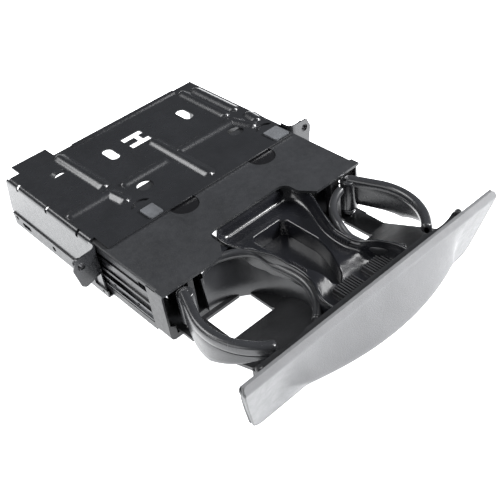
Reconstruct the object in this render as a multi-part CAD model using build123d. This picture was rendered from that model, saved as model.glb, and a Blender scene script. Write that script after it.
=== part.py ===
"""Two-stage pull-out double cup holder for a dashboard slot.

Drawing frame, in millimetres: x to the right, y from the fascia towards the back, z up.
Its zero is the middle of the housing's front edge, on the top face.
Every piece is moved into the ear frame when it is written: the origin is then midway
between the two fixing holes, on the front face of the ears.
"""
from build123d import *
from math import atan2, cos, degrees, hypot, radians, sin
import os

# Ear frame
EAR_FACE_Y = 6.5
EAR_HOLE_X = 115.2
EAR_HOLE_Z = -8.0
EAR_HOLE_R = 3.4
NUT_BORE_R = 2.4

# Housing
SHEET = 1.2
HOUSE_HALF = 100.0
HOUSE_DEPTH = 139.0
HOUSE_BOTTOM = -51.0
FOLD_R = 4.0
BEND_R = 5.0
LATCH_X = -40.0

# Carriage
COVER_HALF = 98.0
COVER_TOP = -1.9
COVER_T = 2.2
COVER_FRONT = -70.0
COVER_REAR = 44.0
FRAME_BOTTOM = -48.3
RECESS_WALL = 96.9

# Drawer
RIM_Z = -5.0
FLOOR_Z = -40.0
FLOOR_T = 2.5
BIN_X = 9.25
BIN_WALL = 2.1
WELL_R = 44.0
WALL_T = 2.4
LEFT_WELL = (-62.0, -114.0)
RIGHT_WELL = (80.0, -120.0)
RAMP_Y = -103.0
RAMP_END = (-159.0, -17.0)
RAMP_T = 3.0

# Arms
PIVOT = (82.5, -73.5)
PIN_R = 2.5
PIN_CLEARANCE = 0.05
ARM_TOP = -4.6
ARM_BOTTOM = -34.0
ARM_CENTRE = (44.8, -113.8)
ARM_R = 51.2
ARM_TIP = -50.0
ARM_ROOT = 45.0
BEAD_WIDE = 8.0
BEAD_TALL = 7.6
ARM_UNDERCUT = [(-89, -44.6), (-169, -11.5), (-169, -60), (-89, -60)]

# Fascia
FASCIA_HALF = 122.0
FASCIA_TOP = 9.0
FASCIA_TILT = 0.27
FASCIA_T = 3.0
BULGE_ROOT = 1.2
BULGE_SHAPE = [(-3, 0.16), (-12, 0.50), (-20.5, 0.84), (-25, 1.0), (-29.5, 0.82), (-36, 0.54),
               (-42.5, 0.28)]
BULGE_DEPTH = [(-97, 0.8), (-88, 3.4), (-79, 7.3), (-52, 15.8), (-26, 20.9), (0, 22.6),
               (26, 20.9), (52, 15.8), (79, 7.3), (88, 3.4), (97, 0.8)]


def outline(points):
    """Flat face inside a closed polygon."""
    return make_face(Polyline(*points, close=True))


def raised(face, z0, z1):
    """Upright solid over a flat face."""
    return extrude(Plane.XY.offset(z0) * face, z1 - z0)


def slab(points, z0, z1):
    """Upright solid over a polygon."""
    return raised(outline(points), z0, z1)


def prism_x(points, x0, x1):
    """Solid with a (y, z) outline, running along x."""
    return extrude(Plane.YZ.offset(x0) * outline(points), x1 - x0)


def prism_y(points, y0, y1):
    """Solid with an (x, z) outline, running along y."""
    return extrude(Plane.XZ.offset(-y1) * outline(points), y1 - y0)


def block(x0, x1, y0, y1, z0, z1):
    """Box between two corners."""
    middle = Pos((x0 + x1) / 2, (y0 + y1) / 2, (z0 + z1) / 2)
    return middle * Box(x1 - x0, y1 - y0, z1 - z0)


def rod(x, y, z0, z1, r):
    """Upright round bar."""
    return Pos(x, y, (z0 + z1) / 2) * Cylinder(r, z1 - z0)


def pipe(x, y, z0, z1, r, wall):
    """Upright tube."""
    return rod(x, y, z0, z1, r + wall) - rod(x, y, z0 - 1, z1 + 1, r)


def obround(x, y, length, width, angle=0):
    """Through cutter for a slot with round ends."""
    face = SlotOverall(length, width)
    return Pos(x, y, -3) * Rot(0, 0, angle) * extrude(face, 6)


def capsule(a, b, z, r):
    """Round bar with ball ends from a to b."""
    length = hypot(b[0] - a[0], b[1] - a[1])
    turn = degrees(atan2(b[1] - a[1], b[0] - a[0]))
    place = Pos((a[0] + b[0]) / 2, (a[1] + b[1]) / 2, z) * Rot(0, 0, turn)
    bar = place * Rot(0, 90, 0) * Cylinder(r, length)
    return bar + Pos(a[0], a[1], z) * Sphere(r) + Pos(b[0], b[1], z) * Sphere(r)


def other_side(shape):
    """Mirror image on the other side of the middle plane."""
    return mirror(shape, about=Plane.YZ)


def both(shape):
    """The shape and its mirror image."""
    return shape + other_side(shape)


def save(name, shape):
    """Write one piece in the ear frame."""
    placed = Pos(0, -EAR_FACE_Y, -EAR_HOLE_Z) * shape
    placed.label = name
    export_step(placed, "parts/" + name + ".step")


# ---------------------------------------------------------------- housing
BEADS = [
    [(-53, 130), (-52, 67)],
    [(-91, 54), (-54, 54), (-52, 37)],
    [(-39, 54), (0, 54)],
    [(20, 56), (76, 55), (82, 36)],
    [(79, 126), (79, 68)],
    [(90, 121), (90, 69)],
    [(92, 50), (91, 41)],
    [(13, 84), (13, 12)],
]
SIDE_HOLES = [(85, -44.4, 4.8, 4.8), (129, -44.6, 14, 4.6), (143.5, -41.5, 4, 4)]
BEAD_SINK = 4.2
BEAD_R = 6.0


def bead_bars(r):
    """Round bars along every pressed bead."""
    bars = []
    for line in BEADS:
        for a, b in zip(line, line[1:]):
            bars.append(capsule(a, b, -BEAD_SINK, r))
    return bars


def fold_channel():
    """Top plate and sides as one folded channel."""
    outer = RectangleRounded(2 * HOUSE_HALF, 120, FOLD_R)
    inner = RectangleRounded(2 * (HOUSE_HALF - SHEET), 120 - 2 * SHEET, FOLD_R - SHEET)
    ring = Plane.XZ.offset(-153) * Pos(0, -60) * (outer - inner)
    channel = extrude(ring, 153 - 18)
    return channel - block(-110, 110, 0, 160, -130, HOUSE_BOTTOM + SHEET + 0.05)


def ear():
    """Fixing ear on the right, with its bend and the front of the side."""
    profile = [(105, -24.5), (116, -28), (119.5, -25), (122.4, -9), (118.6, -0.6), (105, 0)]
    face = fillet(outline(profile).vertices().sort_by(Axis.X)[2:], 3.0)
    plate = extrude(Plane.XZ.offset(-EAR_FACE_Y - SHEET) * face, SHEET)
    centre_y = EAR_FACE_Y + SHEET + BEND_R
    quarter = block(98, 105, 6, centre_y, -24.5, 0)
    bend = pipe(105, centre_y, -24.5, 0, BEND_R, SHEET) & quarter
    side = block(98.8, 100, centre_y, 18, HOUSE_BOTTOM + SHEET + 0.05, 0)
    hole = Pos(EAR_HOLE_X, 10, EAR_HOLE_Z) * Rot(90, 0, 0) * Cylinder(EAR_HOLE_R, 20)
    return plate + bend + side - hole


def bridge(x, y):
    """Lanced strap that stands above the plate."""
    tube = Pos(x, y, -7.2) * Rot(90, 0, 0) * (Cylinder(9, 5) - Cylinder(7.8, 6))
    return tube & block(x - 10, x + 10, y - 3, y + 3, -SHEET, 4)


def pad_slot(x, y):
    """Curved relief cut behind a felt pad."""
    ring = pipe(x, y, -3, 3, 6.6, 3.2)
    return ring & block(x - 8.6, x + 8.6, y + 4, y + 12, -3, 3)


def top_cuts():
    """Every opening in the top plate."""
    cuts = [obround(-21.5, 99.5, 20, 9, 90), obround(57.6, 98, 20, 9, 90)]
    cuts += [rod(-29.7, 40, -3, 3, 7), rod(67.7, 40.8, -3, 3, 7)]
    letter = block(-4, 16, 91, 111, -3, 3) - block(-5, 6, 98, 104, -4, 4)
    cuts.append(letter - block(11, 17, 97.5, 104.5, -4, 4))
    cuts.append(block(-73.2, -60.8, 108.2, 115.8, -3, 3))
    cuts += [pad_slot(-47, 19), pad_slot(86, 21)]
    for y in (34.6, 79.5, 124):
        cuts += [block(96, 101, y - 1.6, y + 1.6, -5, 1), block(-101, -96, y - 1.6, y + 1.6, -5, 1)]
    return cuts


def side_cuts():
    """Openings low in both sides, cut right across."""
    cuts = []
    for y, z, length, width in SIDE_HOLES:
        face = SlotOverall(length, width) if length > width else Circle(width / 2)
        cuts.append(extrude(Plane.YZ.offset(-104) * Pos(y, z) * face, 208))
    return cuts


def housing_shell():
    """Folded black steel shell with its ears and pressed detail."""
    shell = fold_channel()
    shell -= block(-98.4, 98.4, HOUSE_DEPTH, 160, -10, 1)
    shell -= prism_x([(141, 2), (160, 2), (160, -55), (152, -55), (152, -34)], -110, 110)
    shell += block(-88, -54, HOUSE_DEPTH - 1, 153, -SHEET, 0)
    shell += block(-94, 94, 0, 19, -SHEET, 0)
    ridge = Part() + bead_bars(BEAD_R)
    ridge += block(-36, 76, 134.2, 138.9, -1, 1.0)
    shell += ridge & block(-97, 97, 1, HOUSE_DEPTH, -0.6, 2)
    shell -= bead_bars(BEAD_R - SHEET)
    shell -= top_cuts()
    shell -= side_cuts()
    shell += bridge(-67, 112)
    return shell + both(ear())


def bottom_plate():
    """Shallow pan that laps the sides and leaves the middle open."""
    base = block(-101.3, 101.3, 8, 150, HOUSE_BOTTOM, HOUSE_BOTTOM + SHEET)
    base -= block(-84, 84, 38, 142, HOUSE_BOTTOM - 1, HOUSE_BOTTOM + 3)
    base -= block(-60, 60, 7, 22, HOUSE_BOTTOM - 1, HOUSE_BOTTOM + 3)
    flange = block(100.1, 101.3, 24, 150, HOUSE_BOTTOM, -38.5)
    flange += block(100.1, 101.3, 8, 24, HOUSE_BOTTOM, -45)
    flange -= Pos(100, 14, -47.6) * Rot(0, 90, 0) * Cylinder(1.3, 8)
    lip = block(-96, 96, 148.8, 150, HOUSE_BOTTOM, -44)
    holes = [rod(x, y, -53, -49, 3) for x in (-72, 72) for y in (30, 146)]
    return base + both(flange) + lip - holes - side_cuts()


def felt_pads():
    """Two felt pads on the front edge of the top plate."""
    pads = block(-53.4, -41, 1, 15.5, 0, 1.4) + block(78, 93, 1.5, 17.5, 0, 1.4)
    return fillet(pads.edges().filter_by(Axis.Z), 1.2)


def glide_strips():
    """Plastic strips the carriage runs on."""
    strip = block(86, 93, 24, 146, HOUSE_BOTTOM + SHEET, -48.6)
    return both(fillet(strip.edges().filter_by(Axis.Z), 2.5))


def ear_nuts():
    """Captive nuts behind both ears."""
    leaf = block(109.8, 120.6, EAR_FACE_Y + SHEET, EAR_FACE_Y + SHEET + 0.8, -13.4, -2.6)
    barrel = Pos(EAR_HOLE_X, 10.4, EAR_HOLE_Z) * Rot(90, 0, 0) * Cylinder(4.4, 4)
    bore = Pos(EAR_HOLE_X, 9, EAR_HOLE_Z) * Rot(90, 0, 0) * Cylinder(NUT_BORE_R, 20)
    return both(leaf + barrel - bore)


def latch_block():
    """Push latch at the back of the housing."""
    body = block(LATCH_X - 14, LATCH_X + 14, 119.8, 142, HOUSE_BOTTOM + SHEET, -28)
    body = chamfer(body.edges().filter_by(Axis.Z), 2.0)
    mouth = block(LATCH_X - 6, LATCH_X + 6, 119, 134, -41.5, -33.5)
    foot = block(LATCH_X - 21, LATCH_X + 21, 123, 148.6, HOUSE_BOTTOM + SHEET, -47.4)
    return body + foot - mouth


# ---------------------------------------------------------------- carriage
def cover_notch():
    """Cut-out in the cover for the middle bin."""
    points = [(-46, -73), (-36, -58), (-36, -43), (43, -43), (43, -58), (54, -73)]
    face = outline(points)
    corners = face.vertices().filter_by_position(Axis.Y, -60, -40)
    return raised(fillet(corners, 8), -10, 4)


def carriage_cover():
    """Flat cover over the back of the drawer."""
    plate = block(-COVER_HALF, COVER_HALF, COVER_FRONT, COVER_REAR, COVER_TOP - COVER_T, COVER_TOP)
    skirt = block(96.2, COVER_HALF, -40, COVER_REAR, -8, COVER_TOP)
    skirt += block(96.2, COVER_HALF, -50, -40, -6, COVER_TOP)
    plate += both(skirt)
    long_edges = plate.edges().filter_by(Axis.Y).group_by(Axis.Z)[-1]
    plate = fillet(long_edges, 1.6)
    plate += both(block(96, 99, COVER_FRONT, -62, COVER_TOP - COVER_T, COVER_TOP))
    dents = rod(-24, -2, COVER_TOP - 0.8, 0, 12) + rod(57, -2, COVER_TOP - 0.8, 0, 12)
    return plate - cover_notch() - dents


def pillar():
    """Front corner of the frame, recessed so the arm can pass."""
    post = block(84, 98.5, -68, -50, FRAME_BOTTOM, COVER_TOP - COVER_T)
    low_corner = post.edges().filter_by(Axis.Y).group_by(Axis.Z)[0].sort_by(Axis.X)[-1:]
    post = fillet(low_corner, 4.5)
    recess = prism_y([(80, 0), (RECESS_WALL, 0), (RECESS_WALL, -34), (94, -36), (80, -36)], -69, -49)
    inner = block(80, 92.4, -69, -49, -44, 0)
    return post - recess - inner


def frame_side():
    """Right side of the frame with its foot."""
    wall = block(94.8, 95.8, -50, COVER_REAR, FRAME_BOTTOM, COVER_TOP - COVER_T)
    bead_relief = block(94, 96, -50.1, -36, ARM_TOP - BEAD_TALL - 1.3, 0)
    foot = block(74, 98, -50, COVER_REAR, FRAME_BOTTOM, FRAME_BOTTOM + 2)
    foot += block(95.8, 98, -50, COVER_REAR, FRAME_BOTTOM, -42)
    ribs = [block(95.8, 97, -50, COVER_REAR, z, z + 2.4) for z in (-16, -27)]
    return wall - bead_relief + foot + ribs + pillar()


def carriage_frame():
    """Open frame that carries the drawer."""
    front = block(-90, 90, -66, -52, FRAME_BOTTOM, -44)
    rear = block(-90, 90, 30, COVER_REAR, FRAME_BOTTOM, -44)
    return both(frame_side()) + front + rear


def slide_rail():
    """Right steel rail on the outside of the frame."""
    profile = [(95.8, -31), (98.3, -31), (98.3, -32.2), (97, -32.2), (97, -38.8), (98.3, -38.8),
               (98.3, -40), (95.8, -40)]
    rail = prism_y(profile, -49, COVER_REAR)
    for y in (-30, 0, 30):
        rail -= Pos(96.4, y, -35.5) * Rot(0, 90, 0) * Cylinder(1.6, 3)
    return rail


# ---------------------------------------------------------------- drawer
BIN_PROFILE = [(-42, 31), (-45, 36.5), (-50, 39), (-58, 39.5), (-68, 37), (-78, 32.5), (-88, 27.5),
               (-98, 23.8), (-107, 22.1), (-114, 21.7), (-122, 22.0), (-132, 24.8), (-141, 30),
               (-149, 34.2), (-156, 35.5), (-161, 35)]


def bin_outline(grow):
    """Hourglass outline of the bin, made larger by grow."""
    left = [(BIN_X - w - grow, y) for y, w in BIN_PROFILE]
    right = [(BIN_X + w + grow, y) for y, w in reversed(BIN_PROFILE)]
    side = Spline(*left)
    front = Line(left[-1], right[0])
    return make_face([side, front, Spline(*right), Line(right[-1], left[0])])


def bin_body(grow, z0, z1):
    """Solid over the hourglass outline, longer at both ends by grow."""
    body = raised(bin_outline(grow), z0, z1)
    rear = block(BIN_X - 31 - grow, BIN_X + 31 + grow, -42.05, -42 + grow, z0, z1)
    return body + rear if grow else body


def lower_cavity():
    """Deep middle part of the bin."""
    points = [(-13.5, -60), (13.5, -60), (14.5, -97), (9, -131), (-9, -131), (-14.5, -97)]
    face = outline([(BIN_X + x, y) for x, y in points])
    return raised(fillet(face.vertices(), 3), -38, -10)


def upper_cavity():
    """Wide upper part of the bin that narrows towards its ledge."""
    top = Plane.XY.offset(RIM_Z) * bin_outline(0)
    scale = [(y * 0.86 - 14 if y > -100 else y, w * 0.86) for y, w in BIN_PROFILE]
    left = [(BIN_X - w, y) for y, w in scale]
    right = [(BIN_X + w, y) for y, w in reversed(scale)]
    ledge = make_face([Spline(*left), Line(left[-1], right[0]), Spline(*right), Line(right[-1], left[0])])
    return loft([Plane.XY.offset(-16.5) * ledge, top])


def finger_dip():
    """Saddle cutter that lowers the rims at the waist."""
    return Pos(0, -114, 66) * Rot(0, 90, 0) * Cylinder(75, 240)


def center_bin():
    """Hourglass storage bin between the wells."""
    body = bin_body(BIN_WALL, FLOOR_Z, RIM_Z)
    body -= upper_cavity()
    body -= lower_cavity()
    body -= block(BIN_X - 33, BIN_X + 33, -159.5, -134, -22, -15)
    body -= finger_dip() & block(-16, 36, -134, -94, -12, 0)
    ribs = []
    for side in (-1, 1):
        for step in range(6):
            y = -104 - 3.2 * step
            ribs.append(block(BIN_X + side * 20.4 - 0.9, BIN_X + side * 20.4 + 0.9, y, y + 1.2, -14, -10.2))
    return body + [rib & body for rib in ribs]


def ribbed_mat(x0, x1):
    """Thin mat with raised ribs along y."""
    mat = block(x0, x1, -158.5, -146, -22, -21.2)
    count = int((x1 - x0) / 2.2)
    for step in range(count):
        x = x0 + 1.1 + 2.2 * step
        mat += block(x - 0.45, x + 0.45, -158.5, -146, -21.2, -20.3)
    return mat


def well_sector(centre, side, start, end):
    """Wedge that keeps the arc between two angles."""
    x, y = centre
    points = [(x, y)]
    for step in range(9):
        turn = radians(start + (end - start) * step / 8)
        points.append((x + side * 70 * cos(turn), y + 70 * sin(turn)))
    return slab(points, -60, 20)


def cup_wall(centre, side, start, end):
    """Fixed curved wall of one well with a thick scalloped rim."""
    x, y = centre
    wall = pipe(x, y, FLOOR_Z - FLOOR_T, RIM_Z - 3, WELL_R, WALL_T)
    rim = pipe(x, y, RIM_Z - 14, RIM_Z, WELL_R - 3.2, WALL_T + 3.2)
    rim -= rod(x, y, RIM_Z - 15, RIM_Z - 8, WELL_R - 0.01)
    saddle = Pos(0, y, 64) * Rot(0, 90, 0) * Cylinder(75, 240)
    band = (wall + rim) & well_sector(centre, side, start, end)
    return band - saddle - bin_body(BIN_WALL + 0.1, -60, 10)


def ramp_profile(lift, thick):
    """Side view of the ramp, lifted by lift."""
    (y1, z1) = RAMP_END
    return [(RAMP_Y, FLOOR_Z + lift), (y1, z1 + lift), (y1, z1 + lift - thick),
            (RAMP_Y, FLOOR_Z + lift - thick)]


def well_area(centre, side):
    """Plan area of one well floor, out to the drawer's side."""
    x, y = centre
    area = rod(x, y, -60, 0, WELL_R - 0.1)
    edge = side * 87.6
    area += block(min(x, edge), max(x, edge), -159.5, -71, -60, 0)
    keep = block(-90, -10, -159.5, -71, -61, 1) if side < 0 else block(10, 90, -159.5, -71, -61, 1)
    return area & keep


def cup_floor(centre, side):
    """Well floor with its opening, rising to the front as a ramp."""
    flat = block(-95, 95, RAMP_Y - 0.5, -71, FLOOR_Z - FLOOR_T, FLOOR_Z)
    near = 33 if side < 0 else 39
    hole = block(min(side * near, side * 72), max(side * near, side * 72), RAMP_Y - 4, -76, -50, -30)
    ramp = prism_x(ramp_profile(0, RAMP_T), -95, 95)
    floor = (flat + ramp) & well_area(centre, side)
    base = block(73 if side > 0 else -91, 91 if side > 0 else -73, -84, -38, -60, 0)
    return floor - hole - base - bin_body(BIN_WALL + 0.1, -60, 10) - block(-91, 91, -72, -38, -60, 0)


def bulkhead():
    """Front wall of the drawer behind the fascia."""
    wedge = prism_x([(-161.5, -4), (-174.4, -4), (-164.8, -39.5), (-161.5, -39.5)], -100, 100)
    hollow = prism_x([(-164.2, -6.5), (-172.2, -6.5), (-166.2, -28)], -97, 97)
    wedge -= rod(LEFT_WELL[0] - 5, -118, -60, 10, 45.6)
    wedge -= rod(RIGHT_WELL[0], RIGHT_WELL[1], -60, 10, 44.2)
    wedge -= hollow & block(-30, 48, -180, -160, -60, 0)
    horn = rod(97.4, -165.2, -20, -0.6, 2.6)
    horn = fillet(horn.edges().group_by(Axis.Z)[-1], 1.6)
    wedge += both(horn)
    return wedge - bin_body(BIN_WALL + 0.05, -60, 10)


def pivot_base():
    """Flat corner under the right arm's pin, with its upright post."""
    base = block(73.2, 91, -84, -38, FLOOR_Z - FLOOR_T, FLOOR_Z)
    post = block(70, 74.6, -66.5, -60, FLOOR_Z, -8)
    return base + post


def drawer_tray():
    """Base that joins the bin, the wells and the front wall."""
    strip = block(-12.5, 31, -163, -40, FLOOR_Z - FLOOR_T, FLOOR_Z)
    rear = block(-91, 91, -68, -38, FLOOR_Z - FLOOR_T, FLOOR_Z)
    rear -= rod(LEFT_WELL[0], LEFT_WELL[1], -60, 10, WELL_R + WALL_T)
    back_wall = block(-78, 78, -41.5, -39.4, FLOOR_Z, -22) - bin_body(BIN_WALL + 0.05, -60, 10)
    cross = block(-100, 100, -164.1, -161.5, FLOOR_Z - FLOOR_T, FLOOR_Z + 0.6)
    tray = strip + rear + both(pivot_base()) + back_wall + cross
    return tray + bulkhead()


def latch_striker():
    """Hook at the back of the drawer."""
    shank = block(LATCH_X - 3, LATCH_X + 3, -39.4, -27, -39.5, -35.5)
    barb = [(LATCH_X - 5, -31), (LATCH_X + 5, -31), (LATCH_X + 2, -25.5), (LATCH_X - 2, -25.5)]
    hook = slab(barb, -39.5, -35.5)
    plate = block(LATCH_X - 8, LATCH_X + 8, -39.4, -38.4, -39.5, -28)
    return shank + hook + plate


def arm_pins():
    """Upright pins the arms turn on."""
    return both(rod(PIVOT[0], PIVOT[1], FLOOR_Z, -5.2, PIN_R))


def arm_spring():
    """Right torsion spring around its pin."""
    path = Helix(pitch=1.3, height=4.2, radius=4.1, center=(PIVOT[0], PIVOT[1], -39.2))
    section = Plane(origin=path @ 0, z_dir=path % 0) * Circle(0.45)
    return sweep(section, path=path)


# ---------------------------------------------------------------- arms
def arm_arc(start, end):
    """Arm's cross-section swept between two angles about its centre."""
    bead = Pos(ARM_R, ARM_TOP - BEAD_TALL / 2) * RectangleRounded(BEAD_WIDE, BEAD_TALL, 2.8)
    tall = ARM_TOP - ARM_BOTTOM - 3
    band = Pos(ARM_R + BEAD_WIDE / 2 - 2.4, ARM_BOTTOM + tall / 2) * Rectangle(3.2, tall)
    section = Plane.XZ * (bead + band)
    swept = revolve(Rot(0, 0, start) * section, Axis.Z, end - start)
    return Pos(ARM_CENTRE[0], ARM_CENTRE[1], 0) * swept


def arm_right():
    """Curved arm that closes the right well."""
    turn = radians(ARM_TIP)
    tip_x = ARM_CENTRE[0] + ARM_R * cos(turn)
    tip_y = ARM_CENTRE[1] + ARM_R * sin(turn)
    arm = arm_arc(ARM_TIP, ARM_ROOT)
    arm += arm_arc(ARM_TIP - 8, ARM_TIP) & rod(tip_x, tip_y, -60, 10, BEAD_WIDE / 2)
    boss = rod(PIVOT[0], PIVOT[1], ARM_BOTTOM, -6.4, 7.2)
    arm += fillet(boss.edges().group_by(Axis.Z)[-1], 1.2)
    arm -= prism_x(ARM_UNDERCUT, 40, 110)
    return arm - rod(PIVOT[0], PIVOT[1], -60, 10, PIN_R + PIN_CLEARANCE)


# ---------------------------------------------------------------- fascia
def face_y(z):
    """Front of the flat face at height z."""
    return -180 + FASCIA_TILT * (4 - z)


def fascia_plate():
    """Tilted plate with its top band and rounded corners."""
    top = [(-177.3, FASCIA_TOP), (-180, 4), (face_y(HOUSE_BOTTOM), HOUSE_BOTTOM)]
    back = [(face_y(HOUSE_BOTTOM) + FASCIA_T, HOUSE_BOTTOM), (-180 + FASCIA_T, 4), (-174.6, FASCIA_TOP)]
    plate = prism_x(top + back, -130, 130)
    half = [(FASCIA_HALF, FASCIA_TOP), (122, 2), (117.5, -18), (109, HOUSE_BOTTOM)]
    points = half + [(-x, z) for x, z in reversed(half)]
    face = outline(points)
    lower = face.vertices().group_by(Axis.Y)[0]
    face = fillet(lower, 8)
    upper = face.vertices().group_by(Axis.Y)[-1]
    face = fillet(upper, 2.5)
    front = extrude(Plane.XZ.offset(150) * face, 60)
    return plate & front


def bulge_section(x, depth):
    """Side view of the finger pull at one place along x."""
    points = [(face_y(1) + BULGE_ROOT, 1)]
    for z, share in BULGE_SHAPE:
        points.append((face_y(z) - depth * share, z))
    points.append((face_y(-47.5) + BULGE_ROOT, -47.5))
    face = make_face([Spline(*points), Line(points[-1], points[0])])
    return Plane.YZ.offset(x) * face


def bulge():
    """Finger pull that swells out of the face."""
    return loft([bulge_section(x, depth) for x, depth in BULGE_DEPTH])


def front_fascia():
    """Grained front panel with its finger pull."""
    swell = bulge()
    hollow = Pos(0, FASCIA_T, 0) * swell & block(-74, 74, -200, -150, -40, -6)
    return fascia_plate() + swell - hollow


def main():
    """Build and write every piece."""
    os.makedirs("parts", exist_ok=True)
    arm = arm_right()
    spring = arm_spring()
    rail = slide_rail()
    pieces = {
        "housing_shell": housing_shell(),
        "bottom_plate": bottom_plate(),
        "felt_pads": felt_pads(),
        "glide_strips": glide_strips(),
        "ear_nuts": ear_nuts(),
        "latch_block": latch_block(),
        "carriage_cover": carriage_cover(),
        "carriage_frame": carriage_frame(),
        "rail_left": other_side(rail),
        "rail_right": rail,
        "drawer_tray": drawer_tray(),
        "center_bin": center_bin(),
        "ribbed_mat_left": ribbed_mat(-8, 13),
        "ribbed_mat_right": ribbed_mat(22, 41),
        "cup_wall_left": cup_wall(LEFT_WELL, 1, -62, 92),
        "cup_wall_right": cup_wall(RIGHT_WELL, -1, -60, 74),
        "cup_floor_left": cup_floor(LEFT_WELL, -1),
        "cup_floor_right": cup_floor(RIGHT_WELL, 1),
        "latch_striker": latch_striker(),
        "arm_pins": arm_pins(),
        "arm_spring_left": other_side(spring),
        "arm_spring_right": spring,
        "arm_left": other_side(arm),
        "arm_right": arm,
        "front_fascia": front_fascia(),
    }
    for name, shape in pieces.items():
        save(name, shape)


main()
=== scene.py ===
import bmesh
import bpy
import logging
from dataclasses import dataclass, field
from enum import Enum
from math import cos, pi, radians, sin, sqrt
from mathutils import Matrix, Vector


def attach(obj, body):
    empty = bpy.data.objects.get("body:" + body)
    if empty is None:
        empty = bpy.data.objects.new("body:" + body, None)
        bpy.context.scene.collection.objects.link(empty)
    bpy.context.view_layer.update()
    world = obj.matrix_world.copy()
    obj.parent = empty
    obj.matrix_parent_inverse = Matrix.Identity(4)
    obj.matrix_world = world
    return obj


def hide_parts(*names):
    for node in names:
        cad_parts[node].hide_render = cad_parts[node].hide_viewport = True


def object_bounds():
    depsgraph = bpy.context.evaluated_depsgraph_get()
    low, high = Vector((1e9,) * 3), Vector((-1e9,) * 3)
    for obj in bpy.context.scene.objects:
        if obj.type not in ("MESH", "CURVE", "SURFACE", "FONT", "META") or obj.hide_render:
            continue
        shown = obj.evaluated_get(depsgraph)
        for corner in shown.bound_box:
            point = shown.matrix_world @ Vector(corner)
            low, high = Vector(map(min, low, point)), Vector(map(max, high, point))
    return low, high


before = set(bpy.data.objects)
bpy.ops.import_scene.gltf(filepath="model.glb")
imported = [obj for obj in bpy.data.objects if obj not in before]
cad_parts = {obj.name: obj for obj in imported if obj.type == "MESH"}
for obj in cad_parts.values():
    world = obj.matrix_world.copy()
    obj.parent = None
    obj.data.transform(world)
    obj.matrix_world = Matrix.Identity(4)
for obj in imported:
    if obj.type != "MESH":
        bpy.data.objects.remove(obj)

LOG = logging.getLogger("dash_cup_holder")
CAD_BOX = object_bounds()
Point = tuple[float, float, float]
Flat = tuple[float, float]

MM = 0.001
EAR_FACE_Y = 6.5
EAR_HOLE_Z = -8.0
CLOUD_SCALE = 38.0
RUB_SCALE = 210.0
COAT_ROUGHNESS = 0.12


class Body(Enum):
    """Bodies that pieces ride on."""

    HOUSING = "housing"
    CARRIAGE = "carriage"
    DRAWER = "drawer"
    LEFT_ARM = "left_arm"
    RIGHT_ARM = "right_arm"


class Side(Enum):
    """Which side of the middle plane a piece is on."""

    LEFT = -1
    RIGHT = 1


def at(x: float, y: float, z: float) -> Vector:
    """Place in the ear frame, in metres, of a point in drawing millimetres."""
    return Vector((x, y - EAR_FACE_Y, z - EAR_HOLE_Z)) / 1000.0


def ease(value: float, low: float, high: float) -> float:
    """Smooth step from 0 at low to 1 at high."""
    t = min(max((value - low) / (high - low), 0.0), 1.0)
    return t * t * (3.0 - 2.0 * t)


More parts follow.
